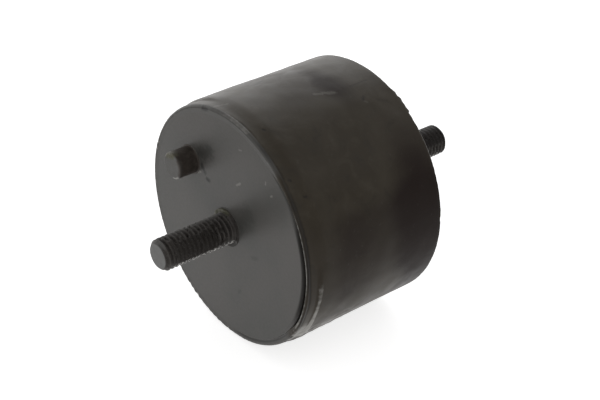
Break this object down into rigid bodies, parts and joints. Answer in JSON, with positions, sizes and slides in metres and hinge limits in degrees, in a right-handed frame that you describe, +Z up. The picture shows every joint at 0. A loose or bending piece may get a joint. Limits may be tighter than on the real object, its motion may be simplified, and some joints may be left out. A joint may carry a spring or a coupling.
{
  "type": "rubber engine mount",
  "caption": "Round rubber engine mount: a rubber drum between two steel discs, with a threaded stud at each end and a locating peg on one disc.",
  "frame": {"origin": "centre of the front disc's outer face, on the stud axis", "axes": "the mount lies on its side: -Y along the front stud, +Y along the rear stud, +Z up, with the peg above and to the left of the front stud seen from the front"},
  "size_m": [0.078, 0.1125, 0.078],
  "materials": {
    "rubber": "matt moulded rubber with worn, greyer patches",
    "disc_steel": "dull dark grey coated steel",
    "stud_steel": "dark phosphated steel thread",
    "peg_steel": "dark steel with a worn bare end"
  },
  "bodies": {
    "root": {"rubber_drum": "rubber", "front_disc": "disc_steel", "rear_disc": "disc_steel", "front_stud": "stud_steel", "rear_stud": "stud_steel", "locating_peg": "peg_steel"}
  },
  "joints": []
}
